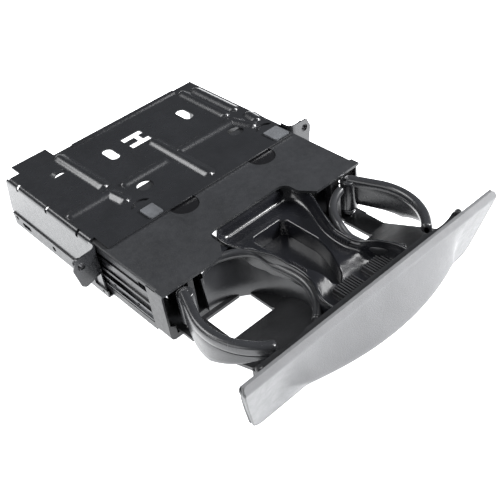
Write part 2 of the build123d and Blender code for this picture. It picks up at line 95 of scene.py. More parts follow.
# ------------------------------------------------------------------ finishes
@dataclass(frozen=True)
class Finish:
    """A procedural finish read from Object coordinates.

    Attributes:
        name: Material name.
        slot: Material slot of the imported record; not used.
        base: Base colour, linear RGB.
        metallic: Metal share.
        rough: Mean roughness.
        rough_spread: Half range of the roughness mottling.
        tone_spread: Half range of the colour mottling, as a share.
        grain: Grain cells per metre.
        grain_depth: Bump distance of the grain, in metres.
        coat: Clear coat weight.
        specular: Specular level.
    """

    name: str
    slot: str
    base: Point
    metallic: float = 0.0
    rough: float = 0.4
    rough_spread: float = 0.06
    tone_spread: float = 0.12
    grain: float = 2400.0
    grain_depth: float = 0.00003
    coat: float = 0.0
    specular: float = 0.5

    def make(self) -> bpy.types.Material:
        """Build the node material.

        Returns:
            The finished material.
        """
        material = bpy.data.materials.new(self.name)
        material.use_nodes = True
        tree = material.node_tree
        shader = tree.nodes["Principled BSDF"]
        shader.inputs["Metallic"].default_value = self.metallic
        shader.inputs["Coat Weight"].default_value = self.coat
        shader.inputs["Coat Roughness"].default_value = COAT_ROUGHNESS
        shader.inputs["Specular IOR Level"].default_value = self.specular
        place = tree.nodes.new("ShaderNodeTexCoord")
        self._tone(tree, place, shader)
        self._sheen(tree, place, shader)
        self._bump(tree, place, shader)
        return material

    def _tone(self, tree: bpy.types.NodeTree, place: bpy.types.Node, shader: bpy.types.Node) -> None:
        """Mottle the base colour.

        Args:
            tree: Node tree.
            place: Texture Coordinate node.
            shader: Principled shader.
        """
        cloud = tree.nodes.new("ShaderNodeTexNoise")
        cloud.inputs["Scale"].default_value = CLOUD_SCALE
        cloud.inputs["Detail"].default_value = 6.0
        cloud.inputs["Roughness"].default_value = 0.62
        ramp = tree.nodes.new("ShaderNodeValToRGB")
        low, high = 1.0 - self.tone_spread, 1.0 + self.tone_spread
        ramp.color_ramp.elements[0].position = 0.3
        ramp.color_ramp.elements[1].position = 0.7
        ramp.color_ramp.elements[0].color = (*[c * low for c in self.base], 1.0)
        ramp.color_ramp.elements[1].color = (*[min(c * high, 1.0) for c in self.base], 1.0)
        tree.links.new(place.outputs["Object"], cloud.inputs["Vector"])
        tree.links.new(cloud.outputs["Fac"], ramp.inputs["Fac"])
        tree.links.new(ramp.outputs["Color"], shader.inputs["Base Color"])

    def _sheen(self, tree: bpy.types.NodeTree, place: bpy.types.Node, shader: bpy.types.Node) -> None:
        """Vary the roughness with rubbed patches and fine streaks.

        Args:
            tree: Node tree.
            place: Texture Coordinate node.
            shader: Principled shader.
        """
        rubs = tree.nodes.new("ShaderNodeTexNoise")
        rubs.inputs["Scale"].default_value = RUB_SCALE
        rubs.inputs["Detail"].default_value = 8.0
        spread = tree.nodes.new("ShaderNodeMapRange")
        spread.inputs["From Min"].default_value = 0.3
        spread.inputs["From Max"].default_value = 0.7
        spread.inputs["To Min"].default_value = max(self.rough - self.rough_spread, 0.03)
        spread.inputs["To Max"].default_value = min(self.rough + self.rough_spread, 1.0)
        tree.links.new(place.outputs["Object"], rubs.inputs["Vector"])
        tree.links.new(rubs.outputs["Fac"], spread.inputs["Value"])
        tree.links.new(spread.outputs["Result"], shader.inputs["Roughness"])

    def _bump(self, tree: bpy.types.NodeTree, place: bpy.types.Node, shader: bpy.types.Node) -> None:
        """Raise the surface grain.

        Args:
            tree: Node tree.
            place: Texture Coordinate node.
            shader: Principled shader.
        """
        cells = tree.nodes.new("ShaderNodeTexNoise")
        cells.inputs["Scale"].default_value = self.grain
        cells.inputs["Detail"].default_value = 3.0
        bump = tree.nodes.new("ShaderNodeBump")
        bump.inputs["Strength"].default_value = 1.0
        bump.inputs["Distance"].default_value = self.grain_depth
        tree.links.new(place.outputs["Object"], cells.inputs["Vector"])
        tree.links.new(cells.outputs["Fac"], bump.inputs["Height"])
        tree.links.new(bump.outputs["Normal"], shader.inputs["Normal"])


FINISHES: dict[str, Finish] = {
    "housing_shell": Finish("shell_black_coat", "housing_steel", (0.022, 0.023, 0.026), 0.3, 0.27, 0.04,
                            0.15, 900.0, 0.000004, coat=0.3, specular=0.8),
    "bottom_plate": Finish("pan_black_coat", "pan_steel", (0.03, 0.031, 0.034), 0.4, 0.28, 0.06, 0.15,
                           900.0, 0.00003, specular=0.8),
    "felt_pads": Finish("felt_grey", "felt", (0.10, 0.104, 0.112), 0.0, 0.95, 0.04, 0.35, 3200.0, 0.0003,
                        specular=0.1),
    "glide_strips": Finish("acetal_natural", "glide", (0.60, 0.59, 0.55), 0.0, 0.4, 0.06, 0.05),
    "ear_nuts": Finish("nut_phosphate", "nut_steel", (0.10, 0.10, 0.105), 0.9, 0.38, 0.1, 0.3, 1500.0),
    "latch_block": Finish("latch_black", "latch_plastic", (0.02, 0.02, 0.022), 0.0, 0.5),
    "carriage_cover": Finish("cover_grain", "cover_plastic", (0.021, 0.022, 0.0245), 0.0, 0.46, 0.06, 0.2,
                             2100.0, 0.00016, specular=0.5),
    "carriage_frame": Finish("frame_black", "frame_plastic", (0.014, 0.014, 0.016), 0.05, 0.3, 0.06, 0.2,
                             1800.0, 0.00003),
    "rail_left": Finish("rail_zinc_left", "rail_steel", (0.10, 0.102, 0.107), 1.0, 0.3, 0.08, 0.15, 1200.0),
    "rail_right": Finish("rail_zinc_right", "rail_steel", (0.10, 0.102, 0.107), 1.0, 0.3, 0.08, 0.15, 1200.0),
    "drawer_tray": Finish("tray_black", "tray_plastic", (0.013, 0.0135, 0.015), 0.05, 0.4, 0.06, 0.2,
                          2000.0, 0.0001),
    "bin": Finish("bin_gloss", "bin_plastic", (0.009, 0.0095, 0.012), 0.0, 0.24, 0.02, 0.25, 1500.0,
                  0.000006, coat=0.25, specular=0.6),
    "ribbed_mat_left": Finish("mat_left", "mat_rubber", (0.022, 0.0225, 0.025), 0.0, 0.45, 0.08, 0.2),
    "ribbed_mat_right": Finish("mat_right", "mat_rubber", (0.022, 0.0225, 0.025), 0.0, 0.45, 0.08, 0.2),
    "cup_wall": Finish("well_satin", "well_plastic", (0.030, 0.031, 0.034), 0.12, 0.3, 0.02, 0.15, 2200.0,
                       0.00003, specular=0.8),
    "cup_floor_left": Finish("floor_left", "floor_plastic", (0.016, 0.0165, 0.018), 0.0, 0.42, 0.06, 0.2,
                             2100.0, 0.0001),
    "cup_floor_right": Finish("floor_right", "floor_plastic", (0.016, 0.0165, 0.018), 0.0, 0.42, 0.06, 0.2,
                              2100.0, 0.0001),
    "latch_striker": Finish("striker_grey", "striker_plastic", (0.05, 0.05, 0.055), 0.0, 0.5),
    "arm_pins": Finish("pin_turned", "pin_steel", (0.45, 0.45, 0.46), 1.0, 0.25),
    "arm_spring_left": Finish("spring_wire_left", "spring_steel", (0.40, 0.40, 0.41), 1.0, 0.3),
    "arm_spring_right": Finish("spring_wire_right", "spring_steel", (0.40, 0.40, 0.41), 1.0, 0.3),
    "arm": Finish("arm_satin", "arm_plastic", (0.026, 0.027, 0.030), 0.12, 0.26, 0.02, 0.15, 2200.0,
                  0.00002, specular=0.8),
    "panel": Finish("panel_grey_grain", "fascia_plastic", (0.135, 0.137, 0.142), 0.0, 0.44, 0.06, 0.08,
                    1500.0, 0.0003, specular=0.5),
}


# ------------------------------------------------------------------ bench
class Bench:
    """Modelling moves that every sub-assembly shares."""

    @staticmethod
    def clear() -> None:
        """Leave edit mode and deselect every object."""
        if bpy.context.object and bpy.context.object.mode != "OBJECT":
            bpy.ops.object.mode_set(mode="OBJECT")
        bpy.ops.object.select_all(action="DESELECT")

    @staticmethod
    def _move_selected(obj: bpy.types.Object, ring: list[Vector]) -> None:
        """Put the selected ring of an edit mesh on new stations.

        Args:
            obj: Object in edit mode.
            ring: Places, in the order of the station numbers.
        """
        shape = bmesh.from_edit_mesh(obj.data)
        station = shape.verts.layers.int["station"]
        for vert in shape.verts:
            if vert.select:
                vert.co = ring[vert[station]]
        bmesh.update_edit_mesh(obj.data)

    @classmethod
    def loft(cls, name: str, rings: list[list[Vector]], closed: bool = False) -> bpy.types.Object:
        """Extrude one ring through a list of places.

        Args:
            name: Object name.
            rings: Closed rings with the same number of points.
            closed: Whether the last ring joins the first.

        Returns:
            The mesh object at the origin.
        """
        cls.clear()
        bpy.ops.mesh.primitive_circle_add(vertices=len(rings[0]), radius=0.01, fill_type="NOTHING")
        obj = bpy.context.object
        obj.name = name
        obj.data.name = name
        bpy.ops.object.mode_set(mode="EDIT")
        shape = bmesh.from_edit_mesh(obj.data)
        station = shape.verts.layers.int.new("station")
        for number, vert in enumerate(sorted(shape.verts, key=lambda v: v.index)):
            vert[station] = number
        bmesh.update_edit_mesh(obj.data)
        bpy.ops.mesh.select_all(action="SELECT")
        cls._move_selected(obj, rings[0])
        if not closed:
            bpy.ops.mesh.edge_face_add()
        for ring in rings[1:]:
            if closed or ring is not rings[1]:
                bpy.ops.mesh.extrude_edges_move()
            else:
                bpy.ops.mesh.extrude_region_move()
            cls._move_selected(obj, ring)
        bpy.ops.mesh.select_all(action="SELECT")
        if closed:
            bpy.ops.mesh.remove_doubles(threshold=0.000002)
        bpy.ops.mesh.normals_make_consistent(inside=False)
        bpy.ops.mesh.select_all(action="DESELECT")
        bpy.ops.object.mode_set(mode="OBJECT")
        return obj

    @classmethod
    def post(cls, name: str, x: float, y: float, low: float, high: float, r: float,
             soft: float) -> bpy.types.Object:
        """Upright round post with softened ends.

        Args:
            name: Object name.
            x: Centre across, in drawing millimetres.
            y: Centre along.
            low: Lowest height.
            high: Highest height.
            r: Radius.
            soft: Bevel at both ends.

        Returns:
            The mesh object.
        """
        cls.clear()
        bpy.ops.mesh.primitive_cylinder_add(vertices=48, radius=r / 1000, depth=(high - low) / 1000,
                                            location=at(x, y, (low + high) / 2))
        obj = bpy.context.object
        obj.name = name
        bpy.ops.object.transform_apply(location=True, rotation=True, scale=True)
        cls.soften(obj, soft, 4, 60)
        return obj

    @staticmethod
    def soften(obj: bpy.types.Object, width: float, segments: int = 3, angle: float = 35.0) -> None:
        """Bevel the sharp edges and apply it.

        Args:
            obj: Mesh object.
            width: Bevel width in millimetres.
            segments: Bevel segments.
            angle: Smallest edge angle that is bevelled, in degrees.
        """
        bevel = obj.modifiers.new("soft_edges", "BEVEL")
        bevel.width = width / 1000
        bevel.segments = segments
        bevel.limit_method = "ANGLE"
        bevel.angle_limit = radians(angle)
        bevel.harden_normals = False
        bpy.context.view_layer.objects.active = obj
        bpy.ops.object.modifier_apply(modifier=bevel.name)

    @classmethod
    def join(cls, parts: list[bpy.types.Object]) -> bpy.types.Object:
        """Join parts into the first one.

        Args:
            parts: Mesh objects.

        Returns:
            The joined object.
        """
        cls.clear()
        for part in parts:
            part.select_set(True)
        bpy.context.view_layer.objects.active = parts[0]
        bpy.ops.object.join()
        return parts[0]

    @classmethod
    def smooth(cls, obj: bpy.types.Object, angle: float = 32.0) -> None:
        """Shade an object smooth below an edge angle.

        Args:
            obj: Mesh object.
            angle: Largest smooth edge angle, in degrees.
        """
        cls.clear()
        obj.select_set(True)
        bpy.context.view_layer.objects.active = obj
        bpy.ops.object.shade_smooth_by_angle(angle=radians(angle))

    @classmethod
    def deliver(cls, obj: bpy.types.Object, body: Body, finish: Finish, nodes: list[str]) -> None:
        """Dress a piece and let it ride in place of its CAD nodes.

        Args:
            obj: Finished mesh object.
            body: Body it moves with.
            finish: Its finish.
            nodes: CAD nodes it stands for.
        """
        obj.data.materials.clear()
        obj.data.materials.append(finish.make())
        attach(obj, body.value)
        if nodes:
            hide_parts(*nodes)
        LOG.info("piece %s rides on %s, %d faces", obj.name, body.value, len(obj.data.polygons))


# ------------------------------------------------------------------ housing detail
@dataclass
class PressedBeads:
    """Smooth stiffening beads pressed into the top plate. Sizes in drawing millimetres."""

    half: float = 6.6
    height: float = 2.4
    run_out: float = 4.6
    taper: float = 5.0
    sunk: float = -0.5
    lines: tuple[tuple[Flat, ...], ...] = (
        ((-53.0, 130.0), (-52.0, 67.0)), ((-91.0, 54.0), (-54.0, 54.0), (-52.0, 37.0)),
        ((-39.0, 54.0), (0.0, 54.0)), ((20.0, 56.0), (76.0, 55.0), (82.0, 36.0)),
        ((79.0, 126.0), (79.0, 68.0)), ((90.0, 121.0), (90.0, 69.0)), ((92.0, 50.0), (91.0, 41.0)),
        ((13.0, 84.0), (13.0, 12.0)))

    def path(self, line: tuple[Flat, ...]) -> list[Vector]:
        """Evenly stepped plan path of a bead, run out past both ends.

        Args:
            line: Corners of the bead.

        Returns:
            Steps of about a millimetre.
        """
        points = [Vector((x, y, 0.0)) for x, y in line]
        points[0] += (points[0] - points[1]).normalized() * self.run_out
        points[-1] += (points[-1] - points[-2]).normalized() * self.run_out
        path: list[Vector] = []
        for a, b in zip(points, points[1:]):
            count = max(int((b - a).length / 1.0), 2)
            path += [a.lerp(b, k / count) for k in range(count)]
        return path + [points[-1]]

    def ring(self, path: list[Vector], k: int) -> list[Vector]:
        """Bell-shaped section of a bead at one step of its path.

        Args:
            path: Plan path.
            k: Step number.

        Returns:
            Ring of places.
        """
        low, high = max(k - 3, 0), min(k + 3, len(path) - 1)
        along = (path[high] - path[low]).normalized()
        across = Vector((-along.y, along.x, 0.0))
        run = min((path[k] - path[0]).length, (path[k] - path[-1]).length)
        share = sqrt(max(1.0 - (1.0 - min(run / self.taper, 1.0)) ** 2, 0.0))
        half, tall = 0.6 + (self.half - 0.6) * share, 0.02 + (self.height - 0.02) * ease(share, 0.0, 1.0)
        ring = [at(*(path[k] + across * side)[:2], self.sunk) for side in (-half, half)]
        for step in range(17):
            t = 1.0 - step / 8.0
            rise = tall * (0.5 + 0.5 * cos(pi * t)) ** 0.8
            spot = path[k] + across * (half * t)
            ring.append(at(spot.x, spot.y, rise))
        return ring

    def build(self) -> None:
        """Press every bead and dress them as one piece."""
        bars: list[bpy.types.Object] = []
        for number, line in enumerate(self.lines):
            path = self.path(line)
            bars.append(Bench.loft(f"bead_{number}", [self.ring(path, k) for k in range(len(path))]))
        beads = Bench.join(bars)
        beads.name = "pressed_beads"
        Bench.smooth(beads, 50)
        Bench.deliver(beads, Body.HOUSING, FINISHES["housing_shell"], [])


@dataclass
class CoverDimples:
    """Dark moulded dimples in the cover, half under the housing. Sizes in drawing millimetres."""

    places: tuple[Flat, ...] = ((-24.0, -2.0), (57.0, -2.0))
    radius: float = 11.8

    def build(self) -> None:
        """Lay a shallow dished disc in each dimple."""
        discs = [Bench.post(f"dimple_{k}", x, y, -2.8, -2.45, self.radius, 0.15)
                 for k, (x, y) in enumerate(self.places)]
        dimples = Bench.join(discs)
        dimples.name = "cover_dimples"
        Bench.smooth(dimples, 40)
        gloss = Finish("dimple_gloss", "cover_plastic", (0.006, 0.006, 0.007), 0.0, 0.3, 0.03, 0.2)
        Bench.deliver(dimples, Body.CARRIAGE, gloss, [])


# ------------------------------------------------------------------ front panel
@dataclass
class FrontPanel:
    """Grained front panel with its finger pull. Sizes in drawing millimetres."""

    half_top: float = 122.0
    half_bottom: float = 109.0
    top: float = 9.0
    bottom: float = -51.0
    band: float = 4.0
    tilt: float = 0.27
    thick: float = 3.0
    lip_y: float = -194.8
    lip_z: float = -25.0
    lip_fall: float = 15.3
    lip_reach: float = 79.0
    cheek_end: float = 93.0
    corner: float = 9.0
    across: int = 150
    down: int = 56

    def face(self, z: float) -> float:
        """Front of the flat face at a height."""
        if z > self.band:
            return -180.0 + (z - self.band) * 0.54
        return -180.0 + self.tilt * (self.band - z)

    def half_width(self, z: float) -> float:
        """Half width at a height, with the rounded corners.

        Args:
            z: Height.

        Returns:
            Half width.
        """
        low, high = (-18.0, self.half_bottom + 8.5), (2.0, self.half_top)
        if z >= high[0]:
            half = high[1]
        elif z >= low[0]:
            half = low[1] + (high[1] - low[1]) * (z - low[0]) / (high[0] - low[0])
        else:
            half = self.half_bottom + 8.5 * (z - self.bottom) / (low[0] - self.bottom)
        over = self.corner - (z - self.bottom)
        if over > 0:
            half -= self.corner - sqrt(max(self.corner ** 2 - over ** 2, 0.0))
        over = 3.0 - (self.top - z)
        if over > 0:
            half -= 3.0 - sqrt(max(9.0 - over ** 2, 0.0))
        return half

    def swell(self, x: float, z: float) -> float:
        """How far the finger pull stands out of the flat face.

        Args:
            x: Place across.
            z: Height.

        Returns:
            Depth in millimetres.
        """
        lip = self.lip_y + self.lip_fall * (x / self.lip_reach) ** 2
        depth = self.face(self.lip_z) - lip
        upper = (self.band - 1.0 - z) / (self.band - 1.0 - self.lip_z)
        lower = (z + 49.5) / (self.lip_z + 49.5)
        soft = 0.09
        share = -soft * self._blend(-upper / soft, -lower / soft)
        share = max(share, 0.0)
        share = share * (1.0 - 0.16 * (1.0 - share))
        return max(depth, 0.0) * share * (1.0 - ease(abs(x), self.lip_reach - 9.0, self.cheek_end))

    @staticmethod
    def _blend(a: float, b: float) -> float:
        """Smooth maximum of two values.

        Args:
            a: First value.
            b: Second value.

        Returns:
            The blended value.
        """
        high, low = max(a, b), min(a, b)
        h = max(1.0 - (high - low) / 2.0, 0.0)
        return high + h * h * 0.5

    def ring(self, share: float) -> list[Vector]:
        """Closed upright section at a share of the half width.

        Args:
            share: Place across, from -1 to 1.

        Returns:
            Points down the front and up the back.
        """
        points: list[Vector] = []
        heights = [self.top + (self.bottom - self.top) * (0.5 - 0.5 * cos(pi * k / self.down))
                   for k in range(self.down + 1)]
        heights[0] -= 0.02
        heights[-1] += 0.02
        for z in heights:
            x = share * self.half_width(z)
            points.append(at(x, self.face(z) - self.swell(x, z), z))
        for z in reversed(heights):
            x = share * self.half_width(z)
            inner = self.swell(x, z) * (1.0 - ease(abs(x), 66.0, 80.0))
            points.append(at(x, self.face(z) - max(inner - 2.0, 0.0) + self.thick * self._back(z), z))
        return points

    def _back(self, z: float) -> float:
        """Share of the thickness kept near the top edge."""
        return 0.85 + 0.15 * ease(self.top - z, 0.0, 4.0)

    def build(self) -> None:
        """Loft the panel, soften its rim and dress it."""
        steps = [sin(pi * (k / self.across - 0.5)) * 0.35 + (2.0 * k / self.across - 1.0) * 0.65
                 for k in range(self.across + 1)]
        obj = Bench.loft("front_panel", [self.ring(step) for step in steps])
        Bench.soften(obj, 0.9, 3, 50)
        Bench.smooth(obj, 40)
        Bench.deliver(obj, Body.DRAWER, FINISHES["panel"], ["front_fascia"])


# ------------------------------------------------------------------ arms
@dataclass
class SwingArm:
    """Curved arm that closes a well. Sizes in drawing millimetres, given for the right side."""

    side: Side
    centre: Flat = (44.8, -113.8)
    pivot: Flat = (82.5, -73.5)
    outer: float = 55.2
    inner: float = 47.2
    start: float = 45.0
    tip: float = -52.0
    top: float = -4.6
    root_bottom: float = -34.0
    steps: int = 72
    straight: float = 22.0
    cap: float = 3.0
    cap_steps: int = 7
    boss_radius: float = 6.4
    boss_top: float = -7.2

    def low_edge(self, y: float) -> float:
        """Height of the wavy lower edge at a place along y.

        Args:
            y: Place along, in drawing millimetres.

        Returns:
            Height in drawing millimetres.
        """
        slope = -44.2 + (-89.0 - y) * 0.414
        wave = 0.9 * sin((y + 90.0) / 11.0)
        return max(self.root_bottom + 0.8 + wave * 0.6, slope) + 0.6

    def profile(self, low: float) -> list[Flat]:
        """Section of the arm as radius and height, with the fine groove under the bead.

        Args:
            low: Height of the lower edge here.

        Returns:
            Closed list of radius and height.
        """
        r1, r0, top = self.outer, self.inner, self.top
        band = r1 - 0.5
        points: list[Flat] = [(band - 2.4, low + 0.2), (band - 1.6, low), (band - 0.6, low + 0.3)]
        points.append((band, low + 1.2))
        for share in (0.25, 0.5, 0.75):
            points.append((band, low + 1.2 + (-14.4 - low - 1.2) * share))
        points += [(band, -14.4), (band - 0.15, -13.7), (band - 0.9, -13.3), (band - 0.9, -12.8),
                   (r1 - 0.3, -12.3), (r1, -11.6), (r1, -9.6)]
        for k in range(9):
            turn = radians(90.0 * k / 8)
            points.append((r1 - 3.4 + 3.4 * cos(turn), top - 3.4 + 3.4 * sin(turn)))
        for k in range(9):
            turn = radians(90.0 + 90.0 * k / 8)
            points.append((r0 + 3.4 + 3.4 * cos(turn), top - 3.4 + 3.4 * sin(turn)))
        points += [(r0, -9.8), (r0 + 0.5, -11.4), (r0 + 1.8, -12.2), (band - 3.4, -12.9), (band - 3.0, -14.0)]
        for share in (0.25, 0.5, 0.75):
            points.append((band - 3.0, -14.0 + (low + 1.2 + 14.0) * share))
        points.append((band - 3.0, low + 1.2))
        return points

    def ring(self, angle: float, shrink: float, lead: float) -> list[Vector]:
        """Section placed at an angle about the arm's centre.

        Args:
            angle: Angle in degrees.
            shrink: Share of the section kept, for the rounded tip.
            lead: Extra distance past the angle, in millimetres.

        Returns:
            Ring of places.
        """
        low = self.low_edge(self.centre[1] + self.outer * sin(radians(angle)))
        middle = (self.outer + self.inner) / 2
        mid_z = (self.top + max(low, -16.5)) / 2
        ring: list[Vector] = []
        for radius, height in self.profile(low):
            radius = middle + (radius - middle) * shrink
            height = mid_z + (height - mid_z) * (0.35 + 0.65 * shrink)
            x, y = self.place(angle, radius, lead)
            ring.append(at(self.side.value * x, y, height))
        return ring

    def place(self, angle: float, radius: float, lead: float) -> Flat:
        """Plan place at an angle and radius; past the straight angle the arm runs straight on.

        Args:
            angle: Angle in degrees.
            radius: Distance from the arm's centre.
            lead: Extra distance past the angle.

        Returns:
            Place across and along.
        """
        kept = min(angle, self.straight)
        turn = radians(kept)
        lead -= radians(angle - kept) * self.outer
        return (self.centre[0] + radius * cos(turn) + lead * sin(turn),
                self.centre[1] + radius * sin(turn) - lead * cos(turn))

    def build(self) -> None:
        """Loft the arm, add its pivot boss and dress it."""
        rings: list[list[Vector]] = []
        for k in range(self.cap_steps - 1):
            turn = radians(90.0 * k / (self.cap_steps - 1))
            rings.append(self.ring(self.start, 0.25 + 0.75 * sin(turn), -self.cap * cos(turn)))
        rings += [self.ring(self.start + (self.tip - self.start) * k / self.steps, 1.0, 0.0)
                  for k in range(self.steps + 1)]
        for k in range(1, self.cap_steps + 1):
            turn = radians(90.0 * k / (self.cap_steps + 1))
            rings.append(self.ring(self.tip, 0.25 + 0.75 * cos(turn), self.cap * sin(turn)))
        name = "arm_" + self.side.name.lower()
        arm = Bench.loft(name + "_shape", rings)
        boss = Bench.post(name + "_boss", self.side.value * self.pivot[0], self.pivot[1],
                          self.root_bottom, self.boss_top, self.boss_radius, 1.4)
        arm = Bench.join([arm, boss])
        Bench.smooth(arm, 38)
        body = Body.LEFT_ARM if self.side is Side.LEFT else Body.RIGHT_ARM
        Bench.deliver(arm, body, FINISHES["arm"], [name])


# ------------------------------------------------------------------ wells
@dataclass
class WellWall:
    """Fixed curved wall of a well with a thick stepped rim. Sizes in drawing millimetres."""

    side: Side
    centre: Flat
    start: float
    end: float
    step_from: float
    step_to: float
    drop: float = 7.6
    inner: float = 44.2
    wall: float = 2.2
    rim: float = 6.6
    top: float = -5.0
    bottom: float = -42.4
    flare: float = 7.2
    lean: float = 3.2
    steps: int = 96

    def rim_top(self, angle: float) -> float:
        """Height of the rim at an angle."""
        return self.top - self.drop * (1.0 - ease(angle, self.step_from, self.step_to))

    def ring(self, angle: float) -> list[Vector]:
        """Section of the wall at an angle.

        Args:
            angle: Angle in degrees, 90 towards the back.

        Returns:
            Ring of places.
        """
        top = self.rim_top(angle)
        lean = self.lean + self.flare * ease(angle, 5.0, 60.0) * (1.0 - ease(angle, 68.0, 98.0))
        r0, r1 = self.inner, self.inner + self.wall
        bead_out = r1 + lean + 0.4
        bead_in = bead_out - self.rim
        h = self.rim / 2
        points: list[Flat] = [(r0, self.bottom), (r1, self.bottom), (r1, self.bottom + 8)]
        points += [(r1 + lean * 0.25, -28.0), (r1 + lean * 0.6, -20.0), (bead_out, top - h - 1.6)]
        for k in range(13):
            turn = radians(180.0 * k / 12)
            points.append((bead_in + h + h * cos(turn), top - h + h * sin(turn)))
        points += [(bead_in + 0.2, top - h - 1.4), (bead_in + 1.6, top - h - 3.0),
                   (bead_in + 3.2, top - h - 4.2), (r0 + lean * 0.6, min(-20.0, top - h - 7.0)),
                   (r0 + lean * 0.25, -28.0), (r0, self.bottom + 8)]
        turn = radians(angle)
        mirror = -self.side.value
        return [at(self.centre[0] + mirror * r * cos(turn), self.centre[1] + r * sin(turn), z)
                for r, z in points]

    def build(self) -> None:
        """Loft the wall and dress it."""
        rings = [self.ring(self.start + (self.end - self.start) * k / self.steps)
                 for k in range(self.steps + 1)]
        name = "cup_wall_" + self.side.name.lower()
        obj = Bench.loft(name + "_shape", rings)
        Bench.soften(obj, 0.6, 3, 60)
        Bench.smooth(obj, 40)
        Bench.deliver(obj, Body.DRAWER, FINISHES["cup_wall"], [name])


# ------------------------------------------------------------------ bin
@dataclass
class StorageBin:
    """Hourglass bin with a rolled rim, a ledge and a deep pocket. Sizes in drawing millimetres."""

    middle: float = 9.25
    wall: float = 3.4
    rim: float = -4.7
    roll: float = 1.7
    bottom: float = -39.9
    rear: float = -42.0
    front: float = -161.0
    ledge: float = -16.0
    apron: float = -21.3
    pocket_floor: float = -36.0
    flange_place: Point = (-40.0, -51.0, -7.4)
    flange_size: Point = (20.0, 22.0, 1.4)
    side_steps: int = 64
    end_steps: int = 24

    STATIONS = ((-42.0, 31.0), (-45.0, 36.5), (-50.0, 39.0), (-58.0, 39.5), (-68.0, 37.0), (-78.0, 32.5),
                (-88.0, 27.5), (-98.0, 23.8), (-107.0, 22.1), (-114.0, 21.7), (-122.0, 22.0),
                (-132.0, 24.8), (-141.0, 30.0), (-149.0, 34.2), (-156.0, 35.5), (-161.0, 35.0))

    def half_width(self, y: float) -> float:
        """Half width of the hourglass at a place along y.

        Args:
            y: Place along.

        Returns:
            Half width, before smoothing.
        """
        line = self.STATIONS
        for (y0, w0), (y1, w1) in zip(line, line[1:]):
            if y >= y1:
                share = min(max((y0 - y) / (y0 - y1), 0.0), 1.0)
                return w0 + (w1 - w0) * share
        return line[-1][1]

    def dip(self, y: float) -> float:
        """How far the rim drops at the waist."""
        return 3.4 * ease(y, -140.0, -126.0) * (1.0 - ease(y, -108.0, -92.0))

    def hourglass(self, inset: float) -> list[Flat]:
        """Closed outline of the bin, moved in by an inset.

        Args:
            inset: Distance in from the inner wall face; negative is outwards.

        Returns:
            Points from the front left corner, up the left side, and back down the right.
        """
        y0, y1 = self.front + max(inset, 0.0), self.rear - inset
        left: list[Flat] = []
        for k in range(self.side_steps + 1):
            y = y0 + (y1 - y0) * k / self.side_steps
            left.append((self._smooth_half(y) - inset, y))
        points = [(self.middle - w, y) for w, y in left]
        w1 = left[-1][0]
        points += [(self.middle + w1 * (2.0 * k / self.end_steps - 1.0), y1)
                   for k in range(1, self.end_steps)]
        points += [(self.middle + w, y) for w, y in reversed(left)]
        w0 = left[0][0]
        points += [(self.middle + w0 * (1.0 - 2.0 * k / self.end_steps), y0)
                   for k in range(1, self.end_steps)]
        return points

    def _smooth_half(self, y: float) -> float:
        """Half width averaged over a short length."""
        return sum(self.half_width(min(max(y + d, self.front), self.rear)) for d in (-3, -1.5, 0, 1.5, 3)) / 5

    def pocket(self, grow: float) -> list[Flat]:
        """Outline of the deep pocket, matched point for point to the hourglass.

        Args:
            grow: Distance out from the pocket's edge.

        Returns:
            Matched points.
        """
        y0, y1 = -137.0 - grow, -59.0 + grow
        left: list[tuple[float, float, float]] = []
        for k in range(self.side_steps + 1):
            y = y0 + (y1 - y0) * k / self.side_steps
            centre = 3.5 + 4.0 * ease(y, -140.0, -112.0)
            half = 5.0 + 11.5 * ease(y, -140.0, -92.0) + grow
            half -= 3.0 * (1.0 - ease(y, y0, y0 + 4.0)) + 3.5 * ease(y, y1 - 4.5, y1)
            left.append((centre, half, y))
        points = [(c - w, y) for c, w, y in left]
        c1, w1, _ = left[-1]
        points += [(c1 + w1 * (2.0 * k / self.end_steps - 1.0), y1) for k in range(1, self.end_steps)]
        points += [(c + w, y) for c, w, y in reversed(left)]
        c0, w0, _ = left[0]
        points += [(c0 + w0 * (1.0 - 2.0 * k / self.end_steps), y0) for k in range(1, self.end_steps)]
        return points

    def ledge_z(self, y: float) -> float:
        """Height of the ledge, lower towards the front apron."""
        return self.ledge + (self.apron - self.ledge) * (1.0 - ease(y, -139.0, -128.0))

    def rings(self) -> list[list[Vector]]:
        """Rings from the outside bottom over the rim and down into the pocket.

        Returns:
            Rings of places.
        """
        rings: list[list[Vector]] = []
        for z in (self.bottom, -30.0, -18.0):
            rings.append([at(x, y, z) for x, y in self.hourglass(-self.wall)])
        for k in range(9):
            turn = radians(180.0 * k / 8)
            inset = -self.wall / 2 - self.roll * cos(turn) * 0.62
            lift = self.roll * sin(turn) - self.roll
            rings.append([at(x, y, self.rim + lift - self.dip(y)) for x, y in self.hourglass(inset)])
        lip, edge = self.hourglass(0.4), self.pocket(1.4)
        for share, drop, flat in ((0.0, 0.14, 0.14), (0.04, 0.42, 0.5), (0.09, 0.72, 0.86), (0.16, 0.9, 0.97),
                                  (0.26, 0.965, 1.0), (0.45, 0.985, 1.0), (0.7, 0.995, 1.0), (1.0, 1.0, 1.0)):
            ring: list[Vector] = []
            for (x0, y0), (x1, y1) in zip(lip, edge):
                x, y = x0 + (x1 - x0) * share, y0 + (y1 - y0) * share
                top = self.rim - self.roll - self.dip(y0)
                level = flat + (drop - flat) * ease(y0, -150.0, -132.0)
                ring.append(at(x, y, top + (self.ledge_z(y) - top) * level))
            rings.append(ring)
        for grow, down in ((1.2, 0.0), (0.5, 0.15), (0.1, 0.7), (-0.3, 2.4), (-0.9, 12.0), (-1.4, 18.2),
                           (-2.0, 19.4), (-3.2, 20.0)):
            rings.append([at(x, y, max(self.ledge_z(y) - down, self.pocket_floor))
                          for x, y in self.pocket(grow)])
        return rings

